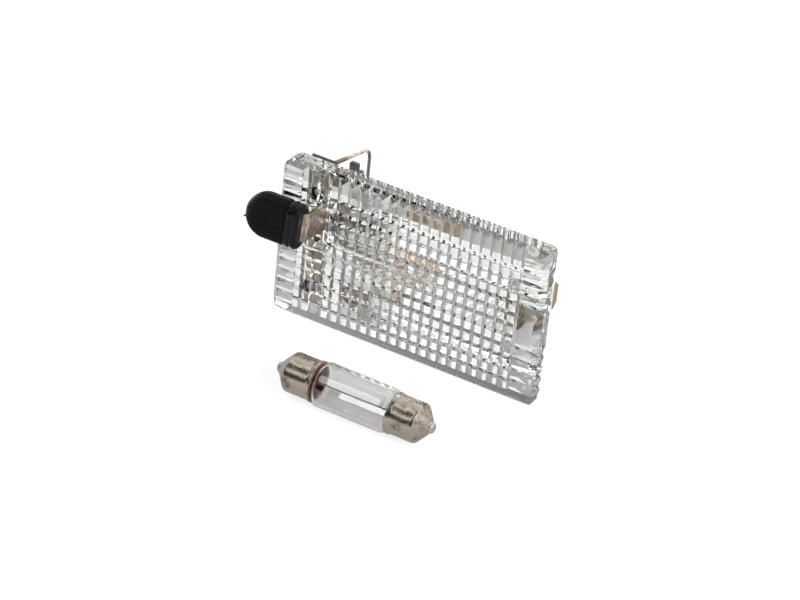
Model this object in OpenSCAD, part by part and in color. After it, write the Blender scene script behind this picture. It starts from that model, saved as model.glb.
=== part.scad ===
// Interior reading light for a car: a clear prismatic lens that carries a three-way lever switch,
// two bulb contacts and their tabs on its back, with its tubular bulb lying in front.
// X runs along the lens, Y away from the reader, Z up. The origin is the middle of the lens's lower edge.

/* [Lens] */
// Length of the lens
lens_length = 60.9; // [56:0.1:76]
// Height of the lens
lens_height = 36.3; // [34:0.1:44]
// Thickness of the lens over the tips of its prisms
lens_thickness = 4.15; // [3.4:0.05:5]
// Depth of the bevel round the front, measured into the lens
bevel_depth = 1.3; // [0.9:0.05:1.5]
// Width of the bevel round the front, measured along the face
bevel_width = 1.35; // [1:0.05:2]
// Radius of the two corners at the switch end
switch_end_radius = 3.2; // [1:0.1:4]
// Radius of the two corners at the plain end
plain_end_radius = 1.2; // [0.5:0.1:3]

/* [Prisms] */
// Number of upright grooves in the front
column_count = 22; // [10:1:24]
// Spacing of the upright grooves
column_pitch = 2.33; // [2:0.01:2.4]
// Width of one upright groove
column_width = 2.05; // [1.4:0.05:2.2]
// Depth of one upright groove
column_depth = 0.88; // [0.4:0.02:1]
// Number of level grooves in the back
row_count = 12; // [8:1:12]
// Spacing of the level grooves
row_pitch = 2.6; // [2.2:0.01:2.62]
// Height of the lowest level groove's middle
row_start = 1.3; // [0.5:0.1:2]
// Depth of a level groove
row_depth = 1; // [0.5:0.05:1.3]
// Width of the flat tip left between two level grooves
row_tip = 0.14; // [0.05:0.01:0.4]
// First level groove, counted from below, that the smooth window interrupts
window_first_row = 5; // [2:1:6]
// How many level grooves the smooth window interrupts
window_rows = 3; // [1:1:4]
// Length of the smooth window, from the plain end
window_length = 6.6; // [4:0.1:9]

/* [Studs] */
// Height of the bosses under the insulating plates, from the tips of the prisms
boss_height = 2; // [1.2:0.1:3]
// Height of the bosses under the earth spring
spring_boss_height = 0.5; // [0.3:0.1:1]
// Radius of a boss
boss_radius = 1.5; // [1.2:0.1:2]
// Radius of the stud that stands on a boss
stud_radius = 0.8; // [0.5:0.05:1]
// Radius of a stud's melted head
stud_head_radius = 1.45; // [1.2:0.05:1.8]
// Thickness of a stud's melted head
stud_head = 0.7; // [0.4:0.1:1]
// Distance of the earth spring's studs from the long edges of the lens
spring_stud_inset = 7; // [5:0.1:9]

/* [Switch] */
// Distance of the lever's plane from the end of the lens
lever_inset = 9.6; // [8.5:0.1:11]
// Thickness of the lever's sheet
lever_thickness = 0.8; // [0.5:0.05:1]
// Height of the lever's blade
blade_height = 6; // [4:0.1:7]
// Distance of the pivot behind the middle of the lens
pivot_depth = 12; // [11:0.1:13.5]
// Height of the pivot above the lower edge
pivot_height = 23.2; // [21.5:0.1:24]
// Radius of the pivot pin
pin_radius = 1; // [0.7:0.05:1.2]
// Radial clearance of the lever on its pin
pin_clearance = 0.06; // [0.03:0.01:0.09]
// How far the lever stands above level at rest
lever_tilt = 7.3; // [5:0.1:9]
// Full swing of the lever, from knob up to knob down
lever_swing = 15; // [8:0.5:16]
// Length of the lever in front of its pivot
lever_reach = 20.3; // [19:0.1:24]
// Length of the lever behind its pivot
tail_reach = 5; // [4.8:0.1:5.6]
// Clearance of the lever in the slot of the lens, each side
slot_clearance = 0.7; // [0.4:0.05:1]

/* [Knob] */
// Length of the knob
knob_length = 12.8; // [10:0.1:16]
// Height of the knob
knob_height = 9.9; // [8.5:0.1:12]
// Thickness of the knob
knob_thickness = 5; // [4:0.1:6]
// Length of the smooth collar at the lever's end of the knob
collar_length = 3; // [2:0.1:5]
// Number of grip grooves in each face
grip_count = 13; // [5:2:15]
// Spacing of the grip grooves, measured round the knob
grip_pitch = 0.74; // [0.6:0.01:0.8]
// Radius of one grip groove
grip_radius = 0.27; // [0.1:0.01:0.3]
// How far the lever's tang reaches into the knob
tang_length = 9; // [5:0.1:9.5]

/* [Plates] */
// Thickness of the insulating plates
plate_thickness = 1.6; // [1.2:0.1:2]
// Length of the switch plate
switch_plate_length = 11; // [10.6:0.1:14]
// Height of the switch plate
switch_plate_height = 30.6; // [29:0.1:31.4]
// Length of the feed plate
feed_plate_length = 8.6; // [8:0.1:10]
// Height of the feed plate
feed_plate_height = 19; // [17:0.1:24]

/* [Contacts] */
// Thickness of the spring strip
strip_thickness = 0.5; // [0.3:0.05:0.6]
// Height of the strips that hold the bulb
contact_height = 8; // [6:0.1:9]
// Distance between the two strips that hold the bulb
contact_gap = 33.2; // [32:0.1:34]
// How far the strips stand behind the plates
contact_rise = 12.2; // [10:0.1:15]
// Radius of the hole that takes a tip of the bulb
tip_hole_radius = 1.7; // [1.4:0.1:2]
// Width of a push-on tab
tab_width = 6.3; // [4.8:0.1:6.3]
// Thickness of a push-on tab
tab_thickness = 0.8; // [0.5:0.1:0.8]
// Length of a push-on tab
tab_length = 8; // [6:0.1:10]
// Thickness of the bracket's sheet
bracket_thickness = 0.8; // [0.6:0.05:1]
// Thickness of the earth spring's sheet
spring_thickness = 0.45; // [0.3:0.05:0.6]
// Width of the finger of the earth spring where it leaves the strip
finger_width = 0.95; // [0.7:0.05:1.2]
// Width of the finger at its free end
finger_tip_width = 0.55; // [0.4:0.05:0.7]

/* [Rivets] */
// Radius of a rivet's shank
rivet_radius = 0.9; // [0.6:0.05:1.1]
// Radius of a rivet's head
rivet_head_radius = 1.6; // [1.3:0.05:2]
// Thickness of a rivet's head
rivet_head = 0.6; // [0.4:0.05:0.8]

/* [Bulb] */
// Length of the bulb over its two tips
bulb_length = 36; // [35:0.1:37]
// Radius of the glass
glass_radius = 4.7; // [4.3:0.05:5]
// Thickness of the glass
glass_wall = 0.6; // [0.4:0.05:0.8]
// Radius of the caps
cap_radius = 4.25; // [4:0.05:4.4]
// Thickness of a cap's sheet
cap_wall = 0.3; // [0.2:0.02:0.4]
// Length of the bulb that shows as glass
glass_shown = 17.4; // [15:0.1:19]
// Distance of the bulb in front of the middle of the lens
bulb_front = 25.6; // [18:0.1:40]
// Place of the bulb's middle along the lens
bulb_place = 3.6; // [-8:0.1:12]
// Turn of the bulb on the surface it lies on
bulb_turn = -2.1; // [-20:0.1:20]

/* [Hidden] */
$fn = 48;

// Planes of the lens
front_y = -lens_thickness / 2;
back_y = lens_thickness / 2;
half_length = lens_length / 2;
half_height = lens_height / 2;
past = 1;

// Columns, rows and window
column_land = 0.1;
groove_width = min(column_width, column_pitch - column_land);
row_width = row_pitch - row_tip;
window_from = row_start + (window_first_row - 0.5) * row_pitch;
window_to = window_from + window_rows * row_pitch;

// Stack of plates and strips behind the lens
plate_front = back_y + boss_height;
plate_back = plate_front + plate_thickness;
strip_back = plate_back + strip_thickness;
bracket_back = strip_back + bracket_thickness;
spring_front = back_y + spring_boss_height;
spring_back = spring_front + spring_thickness;

// Lever and its slot
lever_x = -half_length + lever_inset;
lever_low = lever_tilt - lever_swing;
slot_width = lever_thickness + 2 * slot_clearance;
slot_reach = pivot_depth - front_y;
slot_drop = slot_reach * sin(-lever_low) + blade_height / 2 + slot_clearance;
slot_rise = slot_reach * sin(lever_tilt) + blade_height / 2 + slot_clearance;
blade_front = pivot_depth - lever_reach;
bend_radius = 0.5;
hub_radius = 2.6;
tail_height = 2.6;

// Bracket: two cheeks astride the lever
cheek_gap = 2.6;
cheek_left = lever_x - cheek_gap / 2 - bracket_thickness;
cheek_right = lever_x + cheek_gap / 2;
cheek_margin = 0.9;
blade_gap = 0.4;
blade_drop = (pivot_depth - strip_back) * tan(-lever_low) + blade_height / 2 / cos(lever_low) + blade_gap;
cheek_height = 2 * (blade_drop + cheek_margin);
cheek_back = pivot_depth + 2.6;
cheek_corner = 2.2;
tongue_left = lever_x + 1.5;
tongue_right = tongue_left + 2;
tongue_top = lens_height - 1;
tongue_corner = 0.3;
step_width = 1.2;
step_z = tongue_top - 1.3 - step_width / 2;
washer_radius = 1.9;
washer_gap = 0.05;
washer_thickness = (cheek_gap - lever_thickness) / 2 - 2 * washer_gap;

// Switch plate, just inward of the lever's slot
plate_gap = 0.35;
switch_plate_left = lever_x + slot_width / 2 + plate_gap;
switch_plate_low = half_height - switch_plate_height / 2 + 0.35;
switch_plate_top = switch_plate_low + switch_plate_height;

// Bulb contacts
bulb_axis_y = plate_back + glass_radius + 1.8;
bulb_axis_z = half_height;
return_inset = 7.3;
return_face = switch_plate_left + return_inset;
feed_face = return_face + contact_gap;
flange_length = 5.4;
curl_radius = 0.9;
tab_chamfer = 1.2;
tab_hole_radius = 0.8;
tab_hole_inset = 3;

// Rivets of the bracket, which also hold the return contact
bracket_rivet_inset = 3.4;
bracket_rivet_x = return_face - bracket_rivet_inset;
bracket_rivet_low = pivot_height - 2.6;
bracket_rivet_top = pivot_height + 2.6;

// Door contact
door_width = 6.5;
door_left = lever_x - 1.1;
door_flange_low = switch_plate_low + 2.4;
door_flange_height = 6;
door_shelf = door_flange_low + door_flange_height;
door_bend_y = pivot_depth + 1.6;
door_reach = 4.4;
door_tip_y = pivot_depth + door_reach;
tail_low = pivot_height - (door_tip_y - pivot_depth) * tan(lever_tilt) - tail_height / 2 / cos(lever_tilt);
door_gap = 0.35;
door_tip_z = tail_low - door_gap - strip_thickness;
door_rivet_x = switch_plate_left + 2.1;
door_rivet_z = door_flange_low + door_flange_height / 2;

// Earth spring
spring_inset = 4.3;
spring_left = -half_length + spring_inset;
spring_right = lever_x - slot_width / 2 - 0.35;
spring_top = lens_height + 0.05;
spring_low = 2.6;
spring_tab_height = 4.6;
finger_slope = 13.5;
knee_radius = 3.2;
finger_gap = 0.35;
joint_lap = 0.05;
leg_front = pivot_depth + tail_reach + finger_gap;
leg_low = pivot_height + 0.9;
finger_left = lever_x - finger_width / 2;
spring_stud_x = (spring_left + spring_right) / 2;
spring_stud_low = spring_stud_inset;
spring_stud_top = lens_height - spring_stud_inset;

// Feed plate and the studs
feed_plate_left = feed_face - 0.6;
feed_plate_low = bulb_axis_z - feed_plate_height / 2;
feed_plate_top = feed_plate_low + feed_plate_height;
feed_rivet_x = feed_face + strip_thickness + 2.3;
feed_rivet_gap = 4.4;
stud_inset = 2.4;
feed_stud_x = feed_plate_left + 1.9;
switch_stud_x = switch_plate_left + switch_plate_length - 2.2;
switch_stud_heights = [switch_plate_low + stud_inset, switch_plate_top - stud_inset];
feed_stud_heights = [feed_plate_low + stud_inset, feed_plate_top - stud_inset];

// Knob: it starts at the lever's bend and runs past the end of the lens
knob_right = lever_x - lever_thickness / 2 - 0.1;
knob_left = knob_right - knob_length;
knob_nose = min(knob_height, knob_length - 0.2) / 2 - 0.05;
knob_edge = min(2.3, knob_thickness / 2 - 0.05);
collar_edge = 1.1;
corner_gap = 0.1;
tang_gap = 0.05;
band_gap = 0.3;
stub_radius = 0.22;
stub_length = 1.1;

// Bulb
cap_inner = cap_radius - cap_wall;
neck_radius = cap_inner - 0.25;
half_shown = glass_shown / 2;
cone_inset = 3.1;
tip_length = 1.1;
cone_start = bulb_length / 2 - cone_inset;
cone_end = bulb_length / 2 - tip_length;
tip_radius = 1.25;
rim_flare = 0.16;
glass_end = cone_start - 1.6;
shoulder = 1.1;
neck_round = 1.5;
dish_depth = 0.3;
dish_share = 0.55;
dimple_radius = 1.1;
dimple_depth = 0.16;
dimple_count = 6;
lead_radius = 0.25;
lead_gap = 0.12;
filament_radius = 0.16;
filament_half = 6.4;
pinch_half = glass_end - 2.2;

// Places a profile drawn as (Y, Z) at x = from and extrudes it along X
module along_x(from, length) {
    translate([from, 0, 0]) rotate([90, 0, 90]) linear_extrude(length) children();
}

// Places a profile drawn as (X, Z) at y = from and extrudes it along Y
module along_y(from, length) {
    translate([0, from + length, 0]) rotate([90, 0, 0]) linear_extrude(length) children();
}

// A rod along Y, from y = from
module rod_y(x, z, from, length, radius) {
    translate([x, from, z]) rotate([-90, 0, 0]) cylinder(h = length, r = radius);
}

// A rod along X, from x = from
module rod_x(from, y, z, length, radius) {
    translate([from, y, z]) rotate([0, 90, 0]) cylinder(h = length, r = radius);
}

// A rectangle given by its low and high corners
module span(low, high) {
    translate(low) square(high - low);
}

// A rectangle with round corners
module round_span(low, high, radius) {
    span(low + [radius, 0], high - [radius, 0]);
    span(low + [0, radius], high - [0, radius]);
    for (x = [low[0] + radius, high[0] - radius]) {
        for (y = [low[1] + radius, high[1] - radius]) {
            translate([x, y]) circle(radius);
        }
    }
}

// Middle of a front groove and of a back groove
function column_x(i) = (i - (column_count - 1) / 2) * column_pitch;
function row_z(k) = row_start + k * row_pitch;
function in_window(k) = k >= window_first_row && k < window_first_row + window_rows;

// Section of the lens seen from above: front grooves and bevelled ends
module lens_plan() {
    polygon(concat(
        [[-half_length, back_y], [-half_length, front_y + bevel_depth],
         [-half_length + bevel_width, front_y]],
        [for (i = [0:column_count - 1]) for (step = [-1:1])
            [column_x(i) + step * groove_width / 2, front_y + (1 - abs(step)) * column_depth]],
        [[half_length - bevel_width, front_y], [half_length, front_y + bevel_depth], [half_length, back_y]]
    ));
}

// Section of the lens seen from the end: back grooves and bevelled long edges
module lens_side() {
    polygon(concat(
        [[back_y, 0], [front_y + bevel_depth, 0], [front_y, bevel_width],
         [front_y, lens_height - bevel_width], [front_y + bevel_depth, lens_height], [back_y, lens_height]],
        [for (k = [row_count - 1:-1:0]) for (step = [1:-1:-1])
            [back_y - (1 - abs(step)) * row_depth, max(row_z(k) + step * row_width / 2, 0.05)]]
    ));
}

// Outline of the lens seen from the front, with its round corners
module lens_outline() {
    span([-half_length, switch_end_radius], [0, lens_height - switch_end_radius]);
    span([0, plain_end_radius], [half_length, lens_height - plain_end_radius]);
    span([-half_length + switch_end_radius, 0], [half_length - plain_end_radius, lens_height]);
    for (z = [0, 1]) {
        translate([-half_length + switch_end_radius, abs(z * lens_height - switch_end_radius)])
            circle(switch_end_radius);
        translate([half_length - plain_end_radius, abs(z * lens_height - plain_end_radius)])
            circle(plain_end_radius);
    }
}

// A boss on the back of the lens, with the stud that a piece is put over and its melted head
module stud(x, z, boss_top, seat) {
    foot = back_y - row_depth - 0.2;
    rod_y(x, z, foot, boss_top - foot, boss_radius);
    rod_y(x, z, foot, seat - foot, stud_radius);
    rod_y(x, z, seat, stud_head, stud_head_radius);
}

module lens() {
    color([0.93, 0.94, 0.94, 0.45])
    difference() {
        union() {
            intersection() {
                translate([0, 0, -past]) linear_extrude(lens_height + 2 * past) lens_plan();
                along_x(-half_length - past, lens_length + 2 * past) lens_side();
                along_y(front_y - past, lens_thickness + 2 * past) lens_outline();
            }
            along_y(front_y + bevel_depth, lens_thickness - bevel_depth)
                span([half_length - window_length, window_from], [half_length, window_to]);
            for (z = switch_stud_heights) {
                stud(switch_stud_x, z, plate_front, plate_back);
            }
            for (z = feed_stud_heights) {
                stud(feed_stud_x, z, plate_front, plate_back);
            }
            for (z = [spring_stud_low, spring_stud_top]) {
                stud(spring_stud_x, z, spring_front, spring_back);
            }
        }
        along_y(front_y - past, lens_thickness + 2 * past)
            span([lever_x - slot_width / 2, pivot_height - slot_drop],
                 [lever_x + slot_width / 2, pivot_height + slot_rise]);
    }
}

// Puts a piece drawn with the lever level at the lever's place at rest
module at_rest_tilt() {
    translate([0, pivot_depth, pivot_height])
        rotate([-lever_tilt, 0, 0])
            translate([0, -pivot_depth, -pivot_height])
                children();
}

// Place of a grip groove in the knob's section: on the flat face, or further out on its round edge
function grip_place(reach) =
    let (flat = knob_height / 2 - knob_edge, turn = max(abs(reach) - flat, 0) / knob_edge * 180 / PI)
    [knob_edge * (1 - cos(turn)), sign(reach) * (min(abs(reach), flat) + knob_edge * sin(turn))];

// Knob drawn with the lever level: three crossed profiles, grooved lengthwise round both faces
module switch_knob() {
    y_mid = blade_front + lever_thickness / 2;
    y_low = y_mid - knob_thickness / 2;
    y_high = y_mid + knob_thickness / 2;
    z_low = pivot_height - knob_height / 2;
    z_high = pivot_height + knob_height / 2;
    grip_left = knob_left - past;
    grip_right = knob_right - collar_length;
    nose_right = knob_left + 2 * knob_nose + corner_gap;
    edge_right = knob_left + 2 * knob_edge + corner_gap;
    color([0.05, 0.05, 0.055])
    at_rest_tilt()
    difference() {
        union() {
            intersection() {
                along_y(y_low, knob_thickness) {
                    round_span([knob_left, z_low], [nose_right, z_high], knob_nose);
                    round_span([knob_right - 3 * collar_edge, z_low], [knob_right, z_high], collar_edge);
                    span([knob_left + knob_nose, z_low], [knob_right - collar_edge, z_high]);
                }
                along_x(knob_left, knob_length)
                    round_span([y_low, z_low], [y_high, z_high], knob_edge);
                translate([0, 0, z_low]) linear_extrude(knob_height) {
                    round_span([knob_left, y_low], [edge_right, y_high], knob_edge);
                    round_span([knob_right - 3 * collar_edge, y_low], [knob_right, y_high], collar_edge);
                    span([knob_left + knob_edge, y_low], [knob_right - collar_edge, y_high]);
                }
            }
            translate([knob_left + 0.3, y_mid, pivot_height - 0.6])
                rotate([0, -110, 0])
                    cylinder(h = stub_length, r1 = 2 * stub_radius, r2 = stub_radius);
        }
        for (i = [0:grip_count - 1]) {
            place = grip_place((i - (grip_count - 1) / 2) * grip_pitch);
            for (y = [y_low + place[0], y_high - place[0]]) {
                rod_x(grip_left, y, pivot_height + place[1], grip_right - grip_left, grip_radius);
            }
        }
        for (x = [grip_right, knob_right - collar_length / 2]) {
            for (y = [y_low, y_high]) {
                translate([x, y, z_low - past]) cylinder(h = knob_height + 2 * past, r = band_gap);
            }
        }
        along_y(y_mid - lever_thickness / 2 - tang_gap, lever_thickness + 2 * tang_gap)
            span([knob_right - tang_length - tang_gap, pivot_height - blade_height / 2 - tang_gap],
                 [knob_right + past, pivot_height + blade_height / 2 + tang_gap]);
        along_y(blade_front, lever_thickness + 2 * bend_radius)
            span([lever_x - lever_thickness / 2 - bend_radius - tang_gap,
                  pivot_height - blade_height / 2 - tang_gap],
                 [knob_right + past, pivot_height + blade_height / 2 + tang_gap]);
    }
}

// Lever drawn level: a blade on edge, bent at its front end into the tang that carries the knob
module switch_lever() {
    blade_low = pivot_height - blade_height / 2;
    blade_high = pivot_height + blade_height / 2;
    bend_x = lever_x - lever_thickness / 2 - bend_radius;
    bend_y = blade_front + lever_thickness + bend_radius;
    tang_left = knob_right - tang_length;
    color([0.62, 0.59, 0.55])
    at_rest_tilt() {
        difference() {
            along_x(lever_x - lever_thickness / 2, lever_thickness) {
                span([bend_y, blade_low], [pivot_depth - 1, blade_high]);
                span([pivot_depth - 1.5, pivot_height - tail_height / 2],
                     [pivot_depth + tail_reach - tail_height / 2, pivot_height + tail_height / 2]);
                translate([pivot_depth, pivot_height]) circle(hub_radius);
                translate([pivot_depth + tail_reach - tail_height / 2, pivot_height])
                    circle(tail_height / 2);
            }
            rod_x(lever_x - lever_thickness, pivot_depth, pivot_height, 2 * lever_thickness,
                  pin_radius + pin_clearance);
        }
        translate([bend_x, bend_y, blade_low])
            rotate([0, 0, -90])
                rotate_extrude(angle = 90)
                    translate([bend_radius, 0]) square([lever_thickness, blade_height]);
        along_y(blade_front, lever_thickness) span([tang_left, blade_low], [bend_x, blade_high]);
    }
}

// Pin with a head at each end, outside the cheeks
module pivot_pin() {
    head = 0.7;
    head_radius = pin_radius + 0.7;
    color([0.7, 0.69, 0.66]) {
        rod_x(cheek_left - head, pivot_depth, pivot_height,
              cheek_right - cheek_left + bracket_thickness + 2 * head, pin_radius);
        rod_x(cheek_left - head, pivot_depth, pivot_height, head, head_radius);
        rod_x(cheek_right + bracket_thickness, pivot_depth, pivot_height, head, head_radius);
    }
}

// Two washers that keep the lever in the middle of its bracket
module pivot_washers() {
    color([0.72, 0.66, 0.5])
    for (x = [cheek_left + bracket_thickness, cheek_right - washer_thickness]) {
        difference() {
            rod_x(x, pivot_depth, pivot_height, washer_thickness, washer_radius);
            rod_x(x - past, pivot_depth, pivot_height, washer_thickness + 2 * past,
                  pin_radius + washer_gap);
        }
    }
}

// One cheek, round at its free end
module cheek_profile() {
    low = pivot_height - cheek_height / 2;
    high = pivot_height + cheek_height / 2;
    round_span([strip_back - past, low], [cheek_back, high], cheek_corner);
    span([strip_back, low], [cheek_back - cheek_corner, high]);
}

// Bracket folded to a U, with a window in its base for the lever and a stepped tongue that rises from it
module lever_bracket() {
    base_right = return_face - strip_thickness - 0.4;
    low = pivot_height - cheek_height / 2;
    high = pivot_height + cheek_height / 2;
    color([0.33, 0.32, 0.31])
    difference() {
        union() {
            along_y(strip_back, bracket_thickness) {
                span([cheek_left, low], [base_right, high]);
                round_span([tongue_left, low], [tongue_right, tongue_top], tongue_corner);
                span([tongue_left, low], [tongue_right + step_width, step_z]);
                translate([tongue_right + step_width / 2, step_z]) circle(step_width / 2);
            }
            intersection() {
                union() {
                    along_x(cheek_left, bracket_thickness) cheek_profile();
                    along_x(cheek_right, bracket_thickness) cheek_profile();
                }
                translate([cheek_left - past, strip_back, 0])
                    cube([lens_length, 2 * cheek_back, lens_height]);
            }
        }
        along_y(strip_back - past, bracket_thickness + 2 * past)
            span([cheek_left + bracket_thickness, pivot_height - blade_drop], [cheek_right, high + past]);
        rod_x(cheek_left - past, pivot_depth, pivot_height,
              cheek_right - cheek_left + bracket_thickness + 2 * past, pin_radius);
        for (z = [bracket_rivet_low, bracket_rivet_top]) {
            rod_y(bracket_rivet_x, z, strip_back - past, bracket_thickness + 2 * past, rivet_radius);
        }
    }
}

// Insulating plate under the switch
module switch_plate() {
    color([0.9, 0.91, 0.91, 0.5])
    difference() {
        along_y(plate_front, plate_thickness)
            span([switch_plate_left, switch_plate_low],
                 [switch_plate_left + switch_plate_length, switch_plate_top]);
        for (z = switch_stud_heights) {
            rod_y(switch_stud_x, z, plate_front - past, plate_thickness + 2 * past, stud_radius);
        }
        for (z = [bracket_rivet_low, bracket_rivet_top]) {
            rod_y(bracket_rivet_x, z, plate_front - past, plate_thickness + 2 * past, rivet_radius);
        }
        rod_y(door_rivet_x, door_rivet_z, plate_front - past, plate_thickness + 2 * past, rivet_radius);
    }
}

// Section of a bulb contact seen from above: flange on the plate, riser, outward curl at its free end
module contact_plan(face, side) {
    riser_left = min(face, face + side * strip_thickness);
    top = plate_back + contact_rise;
    flange_from = min(face, face + side * flange_length);
    span([flange_from, plate_back], [flange_from + flange_length, strip_back]);
    span([riser_left, plate_back], [riser_left + strip_thickness, top]);
    translate([face + side * (strip_thickness + curl_radius), top]) {
        difference() {
            circle(curl_radius + strip_thickness);
            circle(curl_radius);
            translate([-3 * curl_radius, -6 * curl_radius]) square(6 * curl_radius);
            translate([side > 0 ? 0.3 : -0.3 - 6 * curl_radius, -past]) square(6 * curl_radius);
        }
    }
}

// Contact that holds the bulb at the switch end and carries the bracket on its flange
module return_contact() {
    low = bulb_axis_z - contact_height / 2;
    flange_top = pivot_height + cheek_height / 2;
    color([0.72, 0.58, 0.36])
    difference() {
        union() {
            translate([0, 0, low]) linear_extrude(contact_height) contact_plan(return_face, -1);
            along_y(plate_back, strip_thickness)
                span([return_face - flange_length, low], [return_face, flange_top]);
        }
        rod_x(return_face - past, bulb_axis_y, bulb_axis_z, 2 * past, tip_hole_radius);
        for (z = [bracket_rivet_low, bracket_rivet_top]) {
            rod_y(bracket_rivet_x, z, plate_back - past, strip_thickness + 2 * past, rivet_radius);
        }
    }
}

// Contact that holds the bulb at the plain end, with the tab for the feed wire
module feed_contact() {
    low = bulb_axis_z - contact_height / 2;
    tab_low = bulb_axis_z - tab_width / 2;
    tab_x = feed_face + flange_length - tab_thickness;
    color([0.72, 0.58, 0.36])
    difference() {
        union() {
            translate([0, 0, low]) linear_extrude(contact_height) contact_plan(feed_face, 1);
            along_x(tab_x, tab_thickness) {
                span([plate_back, tab_low], [plate_back + tab_length - tab_chamfer, tab_low + tab_width]);
                polygon([
                    [plate_back + tab_length - tab_chamfer, tab_low],
                    [plate_back + tab_length, tab_low + tab_chamfer],
                    [plate_back + tab_length, tab_low + tab_width - tab_chamfer],
                    [plate_back + tab_length - tab_chamfer, tab_low + tab_width]
                ]);
            }
        }
        rod_x(feed_face - past, bulb_axis_y, bulb_axis_z, 2 * past, tip_hole_radius);
        rod_x(tab_x - past, plate_back + tab_length - tab_hole_inset, bulb_axis_z, tab_thickness + 2 * past,
              tab_hole_radius);
        for (side = [-1, 1]) {
            rod_y(feed_rivet_x, bulb_axis_z + side * feed_rivet_gap / 2, plate_back - past,
                  strip_thickness + 2 * past, rivet_radius);
        }
    }
}

// Strip that the lever's tail lowers onto, with the tab for the door wire
module door_contact() {
    tab_y = strip_back + tab_length + 1;
    tab_left = switch_plate_left + 0.2;
    lean = [door_tip_y - door_bend_y, door_tip_z - door_shelf];
    run = norm(lean);
    color([0.72, 0.58, 0.36]) {
        difference() {
            along_y(plate_back, strip_thickness)
                span([tab_left, door_flange_low], [tab_left + door_width - 1.6, door_shelf]);
            rod_y(door_rivet_x, door_rivet_z, plate_back - past, strip_thickness + 2 * past, rivet_radius);
        }
        along_x(door_left, door_width) {
            span([strip_back + 0.4, door_shelf - strip_thickness], [door_bend_y, door_shelf]);
            translate([door_bend_y, door_shelf - strip_thickness])
                rotate(atan2(lean[1], lean[0]))
                    square([run, strip_thickness]);
            translate([door_bend_y, door_shelf - strip_thickness / 2]) circle(strip_thickness / 2);
        }
        along_x(tab_left, door_width - 1.6)
            span([plate_back, door_shelf - strip_thickness], [strip_back + 1, door_shelf]);
        translate([tab_left, plate_back, door_flange_low]) cube([tab_width, tab_length, tab_thickness]);
    }
}

// Straight run of the finger, from one point to another, measured along its upper or outer face
module finger_run(from, to) {
    way = to - from;
    translate(from) rotate(atan2(way[1], way[0]))
        translate([0, -spring_thickness]) square([norm(way) + joint_lap, spring_thickness]);
}

// Finger seen from the side: back from the strip, over the knee and down behind the lever's tail
module finger_profile() {
    leg_back = leg_front + spring_thickness;
    turn = 90 - finger_slope;
    knee_y = leg_back - knee_radius;
    top_y = knee_y + knee_radius * cos(turn);
    top_z = spring_top - (top_y - spring_front) * tan(finger_slope);
    knee = [knee_y, top_z - knee_radius * sin(turn)];
    finger_run([spring_front, spring_top], [top_y, top_z]);
    intersection() {
        translate(knee) difference() {
            circle(knee_radius);
            circle(knee_radius - spring_thickness);
        }
        translate(knee) polygon([[0, 0], 3 * knee_radius * [cos(turn), sin(turn)],
            [3 * knee_radius, 3 * knee_radius], [3 * knee_radius, 0]]);
    }
    span([leg_front, leg_low], [leg_back, knee[1] + joint_lap]);
}

// Bronze strip behind the switch end of the lens; its finger earths the lever
module earth_spring() {
    color([0.5, 0.33, 0.2])
    union() {
        difference() {
            along_y(spring_front, spring_thickness) {
                span([spring_left, spring_low], [spring_right, spring_top]);
                span([spring_left, spring_top - spring_tab_height],
                     [finger_left + finger_width, spring_top]);
            }
            for (z = [spring_stud_low, spring_stud_top]) {
                rod_y(spring_stud_x, z, spring_front - past, spring_thickness + 2 * past, stud_radius);
            }
        }
        intersection() {
            along_x(finger_left, finger_width) intersection() {
                finger_profile();
                span([spring_front, 0], [2 * pivot_depth + tail_reach, spring_top]);
            }
            linear_extrude(lens_height + past) polygon([
                [lever_x - finger_width / 2, spring_front],
                [lever_x + finger_width / 2, spring_front],
                [lever_x + finger_tip_width / 2, leg_front + spring_thickness],
                [lever_x - finger_tip_width / 2, leg_front + spring_thickness]
            ]);
        }
    }
}

// Insulating plate under the feed contact
module feed_plate() {
    color([0.9, 0.91, 0.91, 0.5])
    difference() {
        along_y(plate_front, plate_thickness)
            span([feed_plate_left, feed_plate_low], [feed_plate_left + feed_plate_length, feed_plate_top]);
        for (z = feed_stud_heights) {
            rod_y(feed_stud_x, z, plate_front - past, plate_thickness + 2 * past, stud_radius);
        }
        for (side = [-1, 1]) {
            rod_y(feed_rivet_x, bulb_axis_z + side * feed_rivet_gap / 2, plate_front - past,
                  plate_thickness + 2 * past, rivet_radius);
        }
    }
}

// A rivet from a head in front of the plate to a head at y = seat
module rivet(x, z, seat) {
    rod_y(x, z, plate_front - rivet_head, rivet_head, rivet_head_radius);
    rod_y(x, z, plate_front - rivet_head, seat - plate_front + 2 * rivet_head, rivet_radius);
    rod_y(x, z, seat, rivet_head, rivet_head_radius);
}

module bracket_rivets() {
    color([0.74, 0.62, 0.4]) {
        rivet(bracket_rivet_x, bracket_rivet_low, bracket_back);
        rivet(bracket_rivet_x, bracket_rivet_top, bracket_back);
    }
}

module door_rivets() {
    color([0.74, 0.62, 0.4])
    rivet(door_rivet_x, door_rivet_z, strip_back);
}

module feed_rivets() {
    color([0.74, 0.62, 0.4])
    for (side = [-1, 1]) {
        rivet(feed_rivet_x, bulb_axis_z + side * feed_rivet_gap / 2, strip_back);
    }
}

// Puts a piece drawn round the Z axis, middle at the origin, where the bulb lies
module at_bulb() {
    translate([bulb_place, -bulb_front, glass_radius])
        rotate([0, 0, bulb_turn])
            rotate([0, 90, 0])
                children();
}

// Half of the glass as a profile of radius against length
module glass_half_profile(radius, neck, half, end) {
    polygon([
        [0, -past / 2],
        [radius, -past / 2],
        [radius, half - shoulder],
        [(radius + neck) / 2 + 0.15 * (radius - neck), half - shoulder * 0.45],
        [neck, half],
        [neck, end - neck_round],
        [neck * dish_share, end - dish_depth],
        [0, end]
    ]);
}

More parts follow.
